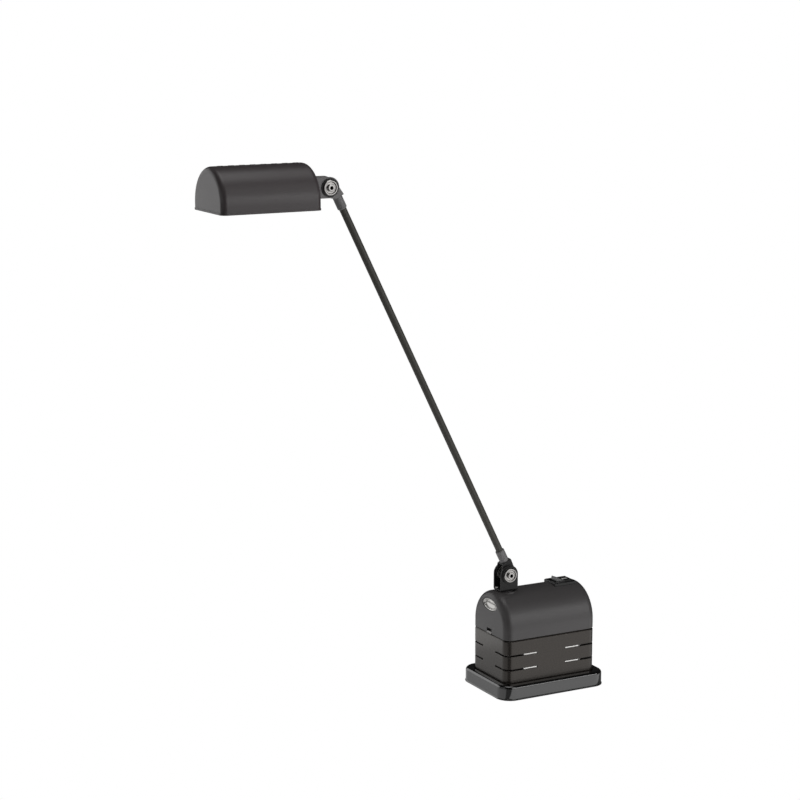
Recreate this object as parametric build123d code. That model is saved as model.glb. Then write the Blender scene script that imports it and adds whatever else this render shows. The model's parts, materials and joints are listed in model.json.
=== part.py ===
from build123d import *
import math
import os

# Desk lamp: a box foot that holds its transformer, one thin arm between two friction hinges, and a
# half-barrel head with a halogen capsule. Millimetres, +Z up. The origin is the centre of the
# underside. +X runs along the foot towards the switch, the arm leans towards -X, and the lamp is
# built about the plane y = 0.

# Clearances
run_gap = 0.05        # radial, a shaft in its hole
seat_gap = 0.1        # a turning face above its washer
leaf_gap = 0.3        # between the leaves of a hinge, each side
drop_gap = 0.2        # around a piece dropped in its pocket
past = 1.0            # how far a cutter reaches past the face that it opens
close_by = 1e-4       # for picking edges by their place

# Foot
pad_thickness = 1.2
pad_recess = 1.0      # how far the pad is let into the tray
pad_inset = 2.0       # from the tray's edge
tray_end_ledge = 7.7  # from the housing to the tray's edge, along X
tray_side_ledge = 9.35
tray_height = 13.5
tray_corner = 13.6
tray_floor = 7.5      # where the housing stands
tray_lip = 0.5        # flare of the bottom edge
tray_lip_height = 1.2
tray_lip_bevel = 0.45
rim_outer_round = 2.9
rim_inner_round = 2.4

# Housing
housing_length = 96.0
housing_width = 62.3
housing_top = 93.15
housing_edge = 7.6    # round of the end edges and the upright corners
wall = 2.2
seam_height = 53.1
seam_gap = 0.5
seam_bevel = 1.0      # lower housing
cover_bevel = 0.4
lip_height = 3.5      # tongue of the lower housing inside the cover
lip_thickness = 1.2

# Vents that wrap the corners of the lower housing
vent_heights = (25.7, 39.1)
vent_opening = 1.45
vent_side_start = 15.0   # distance from the middle of a long side
vent_end_start = 11.1    # distance from the middle of an end

# Screws that hold the housing to the tray
foot_screw_inset = 6.0
foot_boss_radius = 4.0
foot_boss_height = 12.5
foot_screw_radius = 1.5
foot_screw_head = 3.4
foot_screw_head_height = 2.0
foot_screw_length = 12.0
foot_screw_sink = 0.9    # depth of the head above the pad
foot_screw_tip = 1.0     # plastic left above the screw's hole
foot_cross_width = 0.9
foot_cross_depth = 0.8

# Latches of the cover, one at each end
clip_width = 8.0
clip_thickness = 0.8
clip_height = 13.6
clip_above_seam = 2.8
clip_nose = 2.5
clip_nose_height = 1.8
clip_nose_bevel = 0.8
clip_nose_root = 0.4
clip_notch_height = 4.9
guide_thickness = 1.2

# Oval inlay in the end of the cover
inlay_half_width = 12.4
inlay_half_height = 5.4
inlay_below_top = 12.2
inlay_thickness = 1.1
inlay_sink = 0.4
inlay_rim = 1.3
inlay_rim_height = 0.5

# Cord inlet in the far end of the lower housing
inlet_height = 25.0
inlet_bore = 3.2
inlet_neck = 4.8
inlet_flange = 6.5
inlet_flange_thickness = 1.8
inlet_tail = 5.0
inlet_barb = 0.6
inlet_round = 0.7

# Transformer
bobbin_side_gap = 1.0 # from the bobbin's flange to the housing's wall
bobbin_wall = 0.9
bobbin_flange = 1.2
bobbin_overhang = 9.0
coil_margin = 1.3     # flange left showing around the coil
coil_corner = 3.0
strap_end_gap = 5.1   # from the strap's feet to the housing's end walls
strap_thickness = 1.2
strap_bend = 1.1
strap_margin = 4.0    # core left showing at each side of the strap
strap_foot = 9.5
strap_screw_radius = 1.5
strap_screw_head = 2.7
strap_screw_head_height = 1.8
strap_screw_length = 5.5
strap_screw_inset = 6.0   # from the strap's edge
strap_slot_width = 0.7
strap_slot_depth = 0.6

# Terminal block on the strap
block_length = 26.0
block_width = 12.0
block_height = 9.0
block_x = -10.0
block_ways = 3
block_bore_radius = 1.6
block_bore_height = 3.6
block_well_radius = 1.9
block_groove_width = 1.0
block_groove_depth = 2.5

# Rocker switch
switch_from_end = 20.1
bezel_length = 22.7
bezel_width = 19.2
bezel_drop = 1.6      # seat of the bezel below the crown of the arch
bezel_height = 3.2
bezel_bevel = 0.7
switch_body_length = 20.4
switch_body_width = 15.0
switch_body_depth = 17.0
switch_wall = 1.0
seat_pad_depth = 3.0
rocker_half_length = 7.0
rocker_side_gap = 0.3
rocker_crown = 7.0    # the V of the key above its pivot
rocker_below_top = 6.5
rocker_tilt = 10.0
rocker_face_slope = 12.0
rocker_round = 0.6
rocker_depth = 3.0
rocker_pin_radius = 1.0
rocker_pin_reach = 0.6
tab_width = 4.8
tab_thickness = 0.8
tab_length = 7.0
tab_pitch = 6.2
tab_hole_radius = 0.8
tab_hole_height = 4.2     # below the switch's body
tab_room = 10.0           # for the wires, between the tabs and the core

# Pivots: the foot's turns about Z, the head's about X
pivot_from_end = 17.1
pivot_seat_drop = 0.4     # the flat seat below the crown of the arch
pivot_seat_radius = 10.0
pivot_screw_radius = 2.5
pivot_head_radius = 4.2
pivot_head_height = 2.0
pivot_head_round = 0.9
pivot_slot_width = 1.1
pivot_slot_depth = 0.8
pivot_washer_radius = 5.4
pivot_washer_thickness = 0.5
pivot_boss_radius = 7.5
pivot_boss_depth = 3.0
pivot_nut_across = 8.0
pivot_nut_height = 4.0
pivot_screw_end = 1.0     # past the nut
stop_circle = 7.5
stop_pin_radius = 1.25
stop_pin_reach = 1.0      # below the bracket
stop_pin_head = 1.3       # above the plate of the bracket
stop_pin_head_radius = 1.9
stop_groove_depth = 1.3
stop_groove_gap = 0.2
stop_pin_angle = 156.0
foot_turn = 165.0         # each way
head_turn = 90.0          # each way

# U-brackets of the two hinges
ear_radius = 9.0
bracket_outer = 13.2
bracket_sheet = 1.2
bracket_plate = 1.5
bracket_bend = 1.6
foot_reach = 14.95        # hinge axis above the bracket's underside
head_reach = 17.75

# Hinge hardware
bolt_radius = 2.0
bolt_head_radius = 3.3
bolt_head_height = 2.4
bolt_head_round = 0.7
bolt_socket = 3.0         # across the flats
bolt_socket_depth = 1.7
bolt_end = 0.6            # past the nut
insulator_radius = 7.9
insulator_thickness = 1.0
cup_radius = 6.6
cup_thickness = 1.6
cup_floor = 0.5
cup_rim = 1.2
cup_rim_round = 0.5
cup_slope = 0.7
cup_edge = 0.3
nut_across = 7.0
nut_height = 3.2
disc_radius = 6.8
disc_thickness = 1.0
spacer_radius = 4.0

# Arm
arm_lean = 26.3
hinge_span = 405.0        # from hinge to hinge, along the tube
foot_offset = 3.85        # how far the tube's axis passes the foot's hinge
head_offset = 5.2         # and the head's
tube_radius = 3.2
tube_wall = 0.8
yoke_ear_radius = 7.8
yoke_sheet = 1.2
yoke_reach = 12.2         # from the hinge axis to the outside of the yoke's web
yoke_web_low = 4.1        # from the tube's axis to the two ends of the web
yoke_web_high = 4.7
yoke_bend = 1.4
sleeve_radius = 4.2
sleeve_length = 11.4
sleeve_shoulder = 1.0
sleeve_bore = 2.4
sleeve_nose = 0.7         # bevel of the sleeve's mouth, along the tube
sleeve_nose_width = 0.5
spigot_radius = 3.0
rivet_radius = 3.6
rivet_height = 0.6
lead_radius = 0.85
lead_spread = 1.25

# Head
head_length = 91.1
head_width = 60.9
head_height = 37.8
head_edge = 5.1
head_wall = 2.0
rim_below_hinge = 16.15
rim_bead = 0.35
rim_bead_height = 1.6
louvre_count = 8
louvre_shift = 1.7          # the row stands nearer to the hinge than to the far end
louvre_pitch = 9.85
louvre_opening = 1.7
louvre_length = 8.0
louvre_lip = 0.2
louvre_lip_width = 0.8

# Reflector and lamp
reflector_side_gap = 0.95    # from the flange to the head's long walls
reflector_end_gap = 1.8      # from the flange to the head's far end
reflector_nut_gap = 3.2      # from the end plate to the pivot's screw
reflector_sheet = 0.8
reflector_flange = 3.2
lamp_above_axis = 7.0
post_length = 3.5
post_radius = 3.0
post_spacing = 39.4
post_screw_radius = 1.2
post_screw_head = 2.4
post_screw_head_height = 1.2
post_screw_grip = 0.5
holder_length = 10.0
holder_width = 13.0
holder_height = 16.0
holder_socket_depth = 4.0
holder_bevel = 1.2
holder_screw_radius = 1.0
holder_screw_head = 1.9
holder_screw_head_height = 1.2
holder_screw_offset = 5.6
capsule_radius = 5.8
capsule_length = 30.0
capsule_tip_round = 4.6
capsule_neck_round = 2.0
pinch_length = 9.0
pinch_width = 8.4
pinch_thickness = 3.4
contact_pin_radius = 0.6
contact_pin_length = 3.6
contact_pin_pitch = 6.35
wire_slot_width = 9.0
wire_slot_height = 6.0

# Heights and places that follow
tray_underside = pad_thickness - pad_recess
tray_length = housing_length + 2 * tray_end_ledge
tray_width = housing_width + 2 * tray_side_ledge
housing_spring = housing_top - housing_width / 2
cover_bottom = seam_height + seam_gap
inlay_height = housing_top - inlay_below_top
pivot_x = pivot_from_end - housing_length / 2
pivot_seat = housing_top - pivot_seat_drop
switch_x = housing_length / 2 - switch_from_end
bezel_seat = housing_top - bezel_drop
switch_top = bezel_seat + bezel_height
rocker_pivot = switch_top - rocker_below_top
core_stack = housing_width - 2 * (wall + bobbin_side_gap + bobbin_overhang)
core_length = housing_length - 2 * (wall + strap_end_gap + strap_foot + strap_thickness)
core_limb = core_length / 6     # plates cut without waste have windows as wide as their limbs
core_top = bezel_seat - switch_body_depth - tab_length - tab_room
core_height = core_top - tray_floor
strap_width = core_stack - 2 * strap_margin
strap_top = core_top + strap_thickness
foot_bracket_bottom = pivot_seat + pivot_washer_thickness + seat_gap
foot_hinge = Vector(pivot_x, 0, foot_bracket_bottom + foot_reach)
foot_place = Location(foot_hinge)
arm_place = Location(foot_hinge, (0, -arm_lean, 0))
head_shift = foot_offset - head_offset
head_hinge = (arm_place * Pos(head_shift, 0, hinge_span)).position
head_end = head_hinge.X - head_reach - pivot_washer_thickness - seat_gap
head_rim = head_hinge.Z - rim_below_hinge
head_spring = head_height - head_width / 2
head_middle = head_end - head_length / 2
bracket_inner = bracket_outer / 2 - bracket_sheet
yoke_outer = bracket_inner - leaf_gap
yoke_inner = yoke_outer - yoke_sheet
reflector_radius = (
    head_width / 2 - head_wall - reflector_side_gap - reflector_flange - reflector_sheet
)
reflector_axis = head_height - head_wall - post_length - reflector_sheet - reflector_radius
reflector_far = reflector_end_gap + reflector_flange + head_wall - head_length / 2
pivot_reach = pivot_boss_depth + wall + pivot_nut_height + pivot_screw_end
reflector_near = head_length / 2 - pivot_reach - reflector_nut_gap
lamp_axis = reflector_axis + lamp_above_axis
holder_face = reflector_near - reflector_sheet - holder_length

stop_pin_at = (
    stop_circle * math.cos(math.radians(stop_pin_angle)),
    stop_circle * math.sin(math.radians(stop_pin_angle)),
)

head_hinge_place = Location(head_hinge)
head_bracket_place = Location(head_hinge, (0, 90, 0))
head_place = Location((head_middle, 0, head_rim))
foot_pivot = Location((pivot_x, 0, pivot_seat))


def block(x, y, z):
    """A box from three (low, high) spans."""
    spans = (x, y, z)
    middle = [(low + high) / 2 for low, high in spans]
    return Pos(*middle) * Box(*[high - low for low, high in spans])


def disc(radius, low, high, at=(0, 0)):
    return Pos(at[0], at[1], (low + high) / 2) * Cylinder(radius, high - low)


def spun(*points):
    """A closed (radius, height) outline turned about Z."""
    return revolve(Plane.XZ * make_face(Polyline(*points, close=True)), Axis.Z)


def hexagon(across, low, high):
    outline = RegularPolygon(across / 2, 6, major_radius=False)
    return Pos(0, 0, low) * extrude(outline, high - low)


def upright(length, width, corner, low, high):
    """A block with rounded upright corners."""
    return Pos(0, 0, low) * extrude(RectangleRounded(length, width, corner), high - low)


def barrel(length, width, spring, bottom, edge):
    """A half barrel along X on a straight skirt, with rounded end edges."""
    half = width / 2
    skirt = Polyline((-half, spring), (-half, bottom), (half, bottom), (half, spring))
    crown = ThreePointArc((half, spring), (0, spring + half), (-half, spring))
    body = extrude(Plane.YZ * make_face([*skirt.edges(), *crown.edges()]), length / 2, both=True)
    ends = [
        e for e in body.edges()
        if abs(abs(e.center().X) - length / 2) < close_by and e.center().Z > bottom + close_by
    ]
    return fillet(ends, edge)


def housing_form(inset, bottom):
    return barrel(
        housing_length - 2 * inset,
        housing_width - 2 * inset,
        housing_spring,
        bottom,
        housing_edge - inset,
    )


def head_form(inset, bottom):
    return barrel(
        head_length - 2 * inset,
        head_width - 2 * inset,
        head_spring,
        bottom,
        head_edge - inset,
    )


def housing_slice(low, high):
    """All of the housing's plan between two heights."""
    return block((-housing_length, housing_length), (-housing_width, housing_width), (low, high))


def at_corners(x, y):
    return [(sx * x, sy * y) for sx in (-1, 1) for sy in (-1, 1)]


def span(sign, low, high):
    """Two distances from the middle as a (low, high) pair on the side of the sign."""
    return sorted((sign * low, sign * high))


# ---- foot

foot_screws_at = at_corners(
    housing_length / 2 - foot_screw_inset, housing_width / 2 - foot_screw_inset
)
foot_head_low = pad_thickness + foot_screw_sink
foot_head_high = foot_head_low + foot_screw_head_height


def foot_pad():
    length = tray_length - 2 * pad_inset
    width = tray_width - 2 * pad_inset
    return upright(length, width, tray_corner - pad_inset, 0, pad_thickness)


def tray():
    length = tray_length - 2 * tray_lip
    width = tray_width - 2 * tray_lip
    body = upright(length, width, tray_corner - tray_lip, tray_underside, tray_height)
    body = fillet(body.faces().sort_by(Axis.Z)[-1].edges(), rim_outer_round)
    lip_top = tray_underside + tray_lip_height
    lip = upright(tray_length, tray_width, tray_corner, tray_underside, lip_top)
    body += chamfer(lip.faces().sort_by(Axis.Z)[-1].edges(), tray_lip_bevel)
    body -= upright(
        housing_length + 2 * drop_gap,
        housing_width + 2 * drop_gap,
        housing_edge + drop_gap,
        tray_floor,
        tray_height + past,
    )
    mouth = body.faces().sort_by(Axis.Z)[-1].inner_wires()[0]
    body = fillet(mouth.edges(), rim_inner_round)
    pad_length = tray_length - 2 * pad_inset + 2 * drop_gap
    pad_width = tray_width - 2 * pad_inset + 2 * drop_gap
    body -= upright(
        pad_length, pad_width, tray_corner - pad_inset + drop_gap, tray_underside, pad_thickness
    )
    for at in foot_screws_at:
        body -= disc(foot_screw_head + drop_gap, pad_thickness, foot_head_high, at)
        body -= disc(foot_screw_radius + drop_gap, pad_thickness, tray_floor + past, at)
    for at in strap_screws_at:
        body -= disc(strap_screw_radius + run_gap, strap_screw_end - past, tray_floor + past, at)
    return body


def foot_screws():
    screws = []
    for at in foot_screws_at:
        head = disc(foot_screw_head, foot_head_low, foot_head_high, at)
        shank = disc(foot_screw_radius, foot_head_low, foot_head_high + foot_screw_length, at)
        slot = Box(foot_screw_head, foot_cross_width, 2 * foot_cross_depth)
        cross = slot + Rot(0, 0, 90) * slot
        screws.append(head + shank - Pos(at[0], at[1], foot_head_low) * cross)
    return screws


# ---- housing

def vent_cutters():
    """Flat slabs that reach round each upright corner, kept out of the inside."""
    slabs = []
    for height in vent_heights:
        for sx in (-1, 1):
            for sy in (-1, 1):
                x = span(sx, vent_side_start, housing_length)
                y = span(sy, vent_end_start, housing_width)
                half = vent_opening / 2
                slabs.append(block(x, y, (height - half, height + half)))
    return slabs


def clip_notch(sign, low, high):
    """Space for a latch clip through the end wall on one side."""
    half = clip_width / 2 + drop_gap
    return block(span(sign, housing_length / 4, housing_length), (-half, half), (low, high))


def seam_tongue():
    """The lower housing's tongue inside the cover, rooted in the lower housing's wall."""
    hollow = housing_form(wall + lip_thickness, tray_floor - past)
    root_low = seam_height - lip_height
    tongue_top = cover_bottom + lip_height
    tongue = housing_form(wall + drop_gap, tray_floor) & housing_slice(root_low, tongue_top)
    tongue += housing_form(wall - drop_gap, tray_floor) & housing_slice(root_low, seam_height - seam_bevel)
    tongue -= hollow
    for sign in (-1, 1):
        tongue -= clip_notch(sign, root_low - past, tongue_top + past)
    return tongue


def lower_housing():
    inside = housing_form(wall, tray_floor - past)
    shell = housing_form(0, tray_floor) - inside
    shell &= housing_slice(tray_floor, seam_height)
    body = chamfer(shell.faces().sort_by(Axis.Z)[-1].outer_wire().edges(), seam_bevel)
    body += seam_tongue()
    boss_top = tray_floor + foot_boss_height
    for at in foot_screws_at:
        body += disc(foot_boss_radius, tray_floor, boss_top, at)
    for at in foot_screws_at:
        body -= disc(foot_screw_radius + run_gap, tray_floor - past, boss_top - foot_screw_tip, at)
    body += clip_guides()
    for slab in vent_cutters():
        body -= slab - inside
    inlet = Cylinder(inlet_neck + drop_gap / 2, 4 * wall)
    return body - Location((housing_length / 2, 0, inlet_height), (0, 90, 0)) * inlet


def clip_guides():
    """Ribs that hold each latch clip against the end wall."""
    face = housing_length / 2 - wall
    low = cover_bottom + clip_above_seam - clip_height
    high = seam_height - lip_height
    side = clip_width / 2 + run_gap
    shelf = side + guide_thickness
    inner = face - clip_thickness - guide_thickness
    guides = []
    for sign in (-1, 1):
        rib = span(sign, inner, face + wall / 2)
        hook = span(sign, inner, face - clip_thickness - run_gap)
        for hand in (-1, 1):
            guides.append(block(rib, span(hand, side, shelf), (low, high)))
            guides.append(block(hook, span(hand, side - guide_thickness / 2, shelf), (low, high)))
        guides.append(block(rib, (-shelf, shelf), (low - guide_thickness, low)))
    return guides


def latch_clips():
    """Spring strips with a nose that shows in the cover's notch."""
    face = housing_length / 2 - wall
    top = cover_bottom + clip_above_seam
    low = top - clip_height
    nose = cover_bottom + drop_gap
    clips = []
    for sign in (-1, 1):
        outline = Polyline(
            (face - clip_thickness, low),
            (face, low),
            (face, nose),
            (face + clip_nose, nose),
            (face + clip_nose, nose + clip_nose_height / 2),
            (face + clip_nose - clip_nose_bevel, nose + clip_nose_height),
            (face, nose + clip_nose_height + clip_nose_root),
            (face, top),
            (face - clip_thickness, top),
            close=True,
        )
        clip = extrude(Plane.XZ * make_face(outline), clip_width / 2, both=True)
        clips.append(clip if sign > 0 else mirror(clip, Plane.YZ))
    return clips


def inlay_ellipse(grow):
    """The inlay's oval on the end of the cover, facing -X."""
    plane = Plane((-housing_length / 2, 0, inlay_height), x_dir=(0, 1, 0), z_dir=(-1, 0, 0))
    return plane * Ellipse(inlay_half_width + grow, inlay_half_height + grow)


def pivot_seat_disc():
    """A flat seat on the shell, with the seat at z = 0 and the shell below it."""
    return disc(pivot_seat_radius, -pivot_boss_depth, 0)


def pivot_boss():
    """The boss inside the shell, down to the nut."""
    return disc(pivot_boss_radius, -pivot_boss_depth - wall, -wall / 2)


def pivot_cutters(turn):
    """The screw's hole and the groove for the stop pin."""
    hole = disc(pivot_screw_radius + run_gap, -pivot_boss_depth - wall - past, past)
    return [hole, stop_groove(turn)]


def stop_groove(turn):
    """Ring groove for the bracket's stop pin, with a dog left standing opposite the pin."""
    half = stop_pin_radius + stop_groove_gap
    low = -stop_groove_depth
    ring = disc(stop_circle + half, low, past) - disc(stop_circle - half, low - past, 2 * past)
    pin_share = math.degrees(math.asin(half / stop_circle))
    dog = math.radians(180 - turn - pin_share)
    reach = 2 * stop_circle
    corner = (reach * math.cos(dog), reach * math.sin(dog))
    wedge = Polyline((0, 0), (corner[0], -corner[1]), (reach, 0), corner, close=True)
    dog_block = Pos(0, 0, low - past) * extrude(make_face(wedge), stop_groove_depth + 3 * past)
    return ring - Rot(0, 0, stop_pin_angle + 180) * dog_block


def switch_opening(length, width, low, high):
    """A block about the switch's middle, with a dropping gap around it."""
    half_x = (length + drop_gap) / 2
    half_y = (width + drop_gap) / 2
    return block((switch_x - half_x, switch_x + half_x), (-half_y, half_y), (low, high))


def top_cover():
    above = 2 * housing_top
    body = housing_form(0, seam_height) - housing_form(wall, seam_height - past)
    body &= housing_slice(cover_bottom, above)
    body = chamfer(body.faces().sort_by(Axis.Z)[0].outer_wire().edges(), cover_bevel)
    pad = switch_opening(
        bezel_length + 2 * wall, bezel_width + 2 * wall, bezel_seat - seat_pad_depth, bezel_seat
    )
    body += pad & housing_form(wall / 2, seam_height)
    body -= switch_opening(bezel_length, bezel_width, bezel_seat, above)
    body -= switch_opening(switch_body_length, switch_body_width, housing_spring, above)
    body += foot_pivot * pivot_seat_disc()
    body += foot_pivot * pivot_boss()
    body -= foot_pivot * disc(pivot_seat_radius + drop_gap, 0, housing_top)
    for cutter in pivot_cutters(foot_turn):
        body -= foot_pivot * cutter
    kept = housing_form(wall + close_by, seam_height - past)
    for sign in (-1, 1):
        body -= clip_notch(sign, cover_bottom - past, cover_bottom + clip_notch_height) - kept
    return body - extrude(inlay_ellipse(drop_gap / 2), -inlay_thickness - inlay_sink)


def end_inlay():
    """A plain oval plate with a raised rim, let into the end of the cover."""
    back = inlay_thickness + inlay_sink
    plate = extrude(inlay_ellipse(0), -back) - extrude(inlay_ellipse(past), -inlay_sink)
    dish = extrude(inlay_ellipse(-inlay_rim), -inlay_sink - inlay_rim_height)
    return plate - dish


def cord_inlet():
    """Flanged bush for the mains cord, snapped into the end wall."""
    outer = wall + inlet_flange_thickness
    bush = spun(
        (inlet_bore, -inlet_tail),
        (inlet_neck + inlet_barb, -inlet_tail),
        (inlet_neck + inlet_barb, 0),
        (inlet_neck, 0),
        (inlet_neck, wall),
        (inlet_flange, wall),
        (inlet_flange, outer - inlet_round),
        (inlet_flange - inlet_round, outer),
        (inlet_bore + inlet_round, outer),
        (inlet_bore, outer - inlet_round),
    )
    return Location((housing_length / 2 - wall, 0, inlet_height), (0, 90, 0)) * bush


# ---- transformer and terminals

strap_screws_at = at_corners(
    core_length / 2 + strap_thickness + strap_foot / 2, strap_width / 2 - strap_screw_inset
)
strap_screw_end = tray_floor + strap_thickness - strap_screw_length
core_middle = (tray_floor + core_top) / 2
window_height = core_height - 2 * core_limb
window_width = (core_length - 4 * core_limb) / 2


def transformer_core():
    """Stacked E and I plates: a closed frame with a centre limb."""
    half = core_length / 2
    core = block((-half, half), (-core_stack / 2, core_stack / 2), (tray_floor, core_top))
    z = (core_middle - window_height / 2, core_middle + window_height / 2)
    for sign in (-1, 1):
        x = span(sign, core_limb, core_limb + window_width)
        core -= block(x, (-core_stack, core_stack), z)
    return core


def bobbin():
    """Tube around the centre limb with a flange at each end of the window."""
    hole_x = core_limb + run_gap
    hole_y = core_stack / 2 + run_gap
    flange_x = core_limb + window_width - drop_gap
    flange_y = core_stack / 2 + bobbin_overhang
    low = core_middle - window_height / 2 + run_gap
    high = core_middle + window_height / 2 - run_gap
    tube_x = hole_x + bobbin_wall
    tube_y = hole_y + bobbin_wall
    tube = block((-tube_x, tube_x), (-tube_y, tube_y), (low, high))
    for z in ((low, low + bobbin_flange), (high - bobbin_flange, high)):
        tube += block((-flange_x, flange_x), (-flange_y, flange_y), z)
    return tube - block((-hole_x, hole_x), (-hole_y, hole_y), (low - past, high + past))


def coil():
    """The taped winding on the bobbin."""
    inner_x = core_limb + run_gap + bobbin_wall
    inner_y = core_stack / 2 + run_gap + bobbin_wall
    outer_x = core_limb + window_width - drop_gap - coil_margin
    outer_y = core_stack / 2 + bobbin_overhang - coil_margin
    low = core_middle - window_height / 2 + run_gap + bobbin_flange
    high = core_middle + window_height / 2 - run_gap - bobbin_flange
    ring = upright(2 * outer_x, 2 * outer_y, coil_corner, low, high)
    return ring - block((-inner_x, inner_x), (-inner_y, inner_y), (low - past, high + past))


def strap():
    """Folded steel strap over the core, with a foot at each side."""
    half = core_length / 2
    outer = half + strap_thickness
    width = (-strap_width / 2, strap_width / 2)
    body = block((-outer, outer), width, (tray_floor, strap_top))
    body -= block((-half, half), (-strap_width, strap_width), (tray_floor - past, core_top))
    bends = [
        e for e in body.edges().filter_by(Axis.Y)
        if abs(e.center().Z - strap_top) < close_by and abs(e.center().X) > half
    ]
    body = fillet(bends, strap_bend)
    foot_top = tray_floor + strap_thickness
    for sign in (-1, 1):
        body += block(span(sign, half, outer + strap_foot), width, (tray_floor, foot_top))
    for at in strap_screws_at:
        body -= disc(strap_screw_radius + run_gap, tray_floor - past, foot_top + past, at)
    return body


def strap_screws():
    seat = tray_floor + strap_thickness
    top = seat + strap_screw_head_height
    slot = Box(2 * strap_screw_head, strap_slot_width, 2 * strap_slot_depth)
    screws = []
    for at in strap_screws_at:
        head = disc(strap_screw_head, seat, top, at)
        head = fillet(head.edges().group_by(Axis.Z)[-1], strap_screw_head_height / 2)
        shank = disc(strap_screw_radius, strap_screw_end, seat, at)
        screws.append(head + shank - Pos(at[0], at[1], top) * slot)
    return screws


def terminal_block():
    """Moulded block with a clamp tube and a screw well for each wire."""
    top = strap_top + block_height
    bore_z = strap_top + block_bore_height
    low_x = block_x - block_length / 2
    y = (-block_width / 2, block_width / 2)
    body = block((low_x, low_x + block_length), y, (strap_top, top))
    pitch = block_length / block_ways
    for way in range(block_ways):
        middle = low_x + pitch * (way + 0.5)
        bore = Cylinder(block_bore_radius, block_width + 2 * past)
        body -= Location((middle, 0, bore_z), (90, 0, 0)) * bore
        body -= disc(block_well_radius, bore_z, top + past, (middle, 0))
    for way in range(1, block_ways):
        edge = low_x + pitch * way
        groove = (edge - block_groove_width / 2, edge + block_groove_width / 2)
        body -= block(groove, (-block_width, block_width), (top - block_groove_depth, top + past))
    return body


# ---- switch

opening_half_length = switch_body_length / 2 - switch_wall
opening_half_width = switch_body_width / 2 - switch_wall
rocker_half_width = opening_half_width - rocker_side_gap


def switch_body():
    """Bezel and box in one moulding, open at the top for the key."""
    bezel = block(
        (-bezel_length / 2, bezel_length / 2),
        (-bezel_width / 2, bezel_width / 2),
        (bezel_seat, switch_top),
    )
    top_edges = bezel.faces().sort_by(Axis.Z)[-1].edges()
    bezel = chamfer(top_edges, bezel_bevel)
    low = bezel_seat - switch_body_depth
    box = block(
        (-switch_body_length / 2, switch_body_length / 2),
        (-switch_body_width / 2, switch_body_width / 2),
        (low, bezel_seat + bezel_height / 2),
    )
    cavity = block(
        (-opening_half_length, opening_half_length),
        (-opening_half_width, opening_half_width),
        (low + switch_wall, switch_top + past),
    )
    pin_hole = Pos(0, 0, rocker_pivot) * Rot(90, 0, 0) * Cylinder(
        rocker_pin_radius + run_gap, 2 * (opening_half_width + rocker_pin_reach + run_gap)
    )
    return Pos(switch_x, 0, 0) * (bezel + box - cavity - pin_hole)


def switch_tabs():
    """Three blade terminals under the switch."""
    top = bezel_seat - switch_body_depth
    tabs = []
    for place in (-1, 0, 1):
        x = switch_x + place * tab_pitch
        blade_x = (x - tab_thickness / 2, x + tab_thickness / 2)
        tab = block(blade_x, (-tab_width / 2, tab_width / 2), (top - tab_length, top))
        hole = Cylinder(tab_hole_radius, 2 * tab_thickness)
        tabs.append(tab - Location((x, 0, top - tab_hole_height), (0, 90, 0)) * hole)
    return tabs


def rocker():
    """V-topped key on two stub pins, tipped so that its -X end stands up."""
    slope = math.tan(math.radians(rocker_face_slope))
    end = rocker_half_length
    shoulder = rocker_crown + end * slope
    profile = make_face([
        *Polyline((-end, shoulder), (0, rocker_crown), (end, shoulder), (end, rocker_depth)).edges(),
        *ThreePointArc((end, rocker_depth), (0, -rocker_depth), (-end, rocker_depth)).edges(),
        *Line((-end, rocker_depth), (-end, shoulder)).edges(),
    ])
    key = extrude(Plane.XZ * profile, rocker_half_width, both=True)
    crests = [e for e in key.edges().filter_by(Axis.Y) if abs(e.center().Z - shoulder) < close_by]
    key = fillet(crests, rocker_round)
    pins = Rot(90, 0, 0) * Cylinder(rocker_pin_radius, 2 * (opening_half_width + rocker_pin_reach))
    return Location((switch_x, 0, rocker_pivot), (0, rocker_tilt, 0)) * (key + pins)


# ---- pivots and brackets

def pivot_screw():
    """Screw head, shank and slot with the seat of the bracket's plate at z = 0."""
    plate = pivot_washer_thickness + seat_gap + bracket_plate + seat_gap
    head = disc(pivot_head_radius, plate, plate + pivot_head_height)
    head = fillet(head.edges().group_by(Axis.Z)[-1], pivot_head_round)
    slot = Box(3 * pivot_head_radius, pivot_slot_width, 2 * pivot_slot_depth)
    shank = disc(pivot_screw_radius, -pivot_reach, plate)
    return head + shank - Pos(0, 0, plate + pivot_head_height) * slot


def pivot_washer():
    hole = disc(pivot_screw_radius + run_gap, -past, pivot_washer_thickness + past)
    return disc(pivot_washer_radius, 0, pivot_washer_thickness) - hole


def pivot_nut():
    top = -pivot_boss_depth - wall
    nut = hexagon(pivot_nut_across, top - pivot_nut_height, top)
    return nut - disc(pivot_screw_radius + run_gap, top - pivot_nut_height - past, top + past)


def u_bracket(reach):
    """Folded bracket: hinge axis along Y at the origin, plate below, a hole for the stop pin."""
    ear = Circle(ear_radius) + Pos(0, -reach / 2) * Rectangle(2 * ear_radius, reach)
    body = extrude(Plane.XZ * ear, bracket_outer / 2, both=True)
    wide = 2 * ear_radius
    body -= block((-wide, wide), (-bracket_inner, bracket_inner), (bracket_plate - reach, wide))
    bends = [
        e for e in body.edges().filter_by(Axis.X)
        if abs(e.center().Z + reach) < close_by and abs(e.center().Y) > bracket_inner
    ]
    body = fillet(bends, bracket_bend)
    body -= Rot(90, 0, 0) * Cylinder(bolt_radius + run_gap, 2 * bracket_outer)
    body -= disc(pivot_screw_radius + run_gap, -2 * reach, 0)
    return body - disc(stop_pin_radius + run_gap, -2 * reach, 0, stop_pin_at)


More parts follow.
